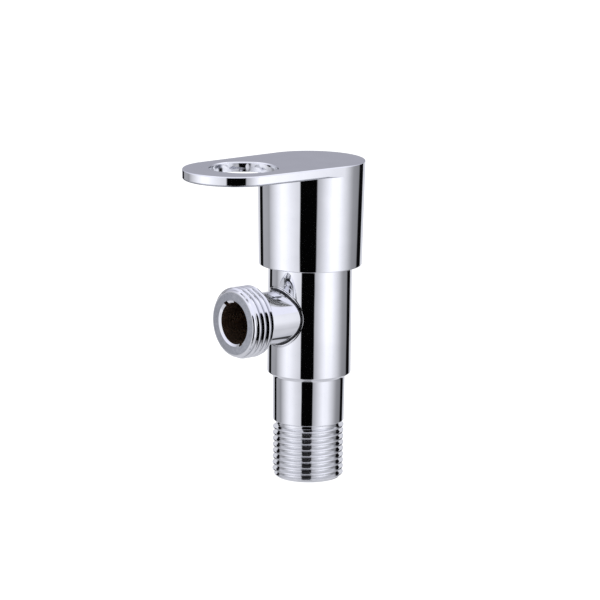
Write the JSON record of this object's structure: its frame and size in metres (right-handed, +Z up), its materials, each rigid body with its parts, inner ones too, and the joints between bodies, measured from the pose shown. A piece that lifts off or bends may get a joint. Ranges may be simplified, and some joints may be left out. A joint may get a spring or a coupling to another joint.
{
  "type": "angle stop valve",
  "caption": "Chrome quarter-turn angle stop valve: threaded inlet below, threaded side outlet, ceramic disc cartridge and a skirted lever handle with a finger hole.",
  "frame": {"origin": "centre of the inlet thread's end face, on the stem axis", "axes": "+Z up the stem towards the handle; -Y along the outlet and the lever; +X to the right seen from the outlet's side with +Z up"},
  "size_m": [0.0315, 0.0594, 0.095],
  "materials": {
    "chromed_brass": "mirror chrome plating over forged brass; raw brass inside the waterways",
    "brass": "turned, satin",
    "fibre": "vulcanised fibre, matte",
    "acetal": "natural acetal, satin",
    "rubber": "nitrile rubber, matte",
    "ceramic_white": "lapped alumina ceramic",
    "ceramic_grey": "lapped alumina ceramic, greyer batch",
    "spindle_brass": "turned, polished shaft",
    "spring_steel": "phosphated spring steel",
    "plain_steel": "pressed stainless steel",
    "adapter_brass": "turned and broached",
    "chromed_zinc": "mirror chrome plating over cast zinc",
    "black_steel": "black oxide",
    "plug_chrome": "chrome-plated ABS",
    "nylon": "natural nylon, satin"
  },
  "bodies": {
    "valve": {"valve_body": "chromed_brass", "cartridge_housing": "brass", "bonnet_gasket": "fibre", "seal_support_ring": "acetal", "disc_seal": "rubber", "fixed_disc": "ceramic_white", "retaining_washer": "brass"},
    "lever": {"spindle": "spindle_brass", "spindle_o_ring_lower": "rubber", "spindle_o_ring_upper": "rubber", "spindle_circlip": "spring_steel", "stop_washer": "plain_steel", "friction_washer": "acetal", "disc_driver": "acetal", "moving_disc": "ceramic_grey", "spline_adapter": "adapter_brass", "handle": "chromed_zinc", "handle_set_screw": "black_steel", "set_screw_plug": "plug_chrome", "skirt_guide_ring": "nylon"}
  },
  "joints": [
    {"name": "lever_turn", "type": "hinge", "parent": "valve", "child": "lever", "pos_m": [0, 0, 0.078], "axis": [0, 0, 1], "range_deg": [-90, 0]}
  ]
}
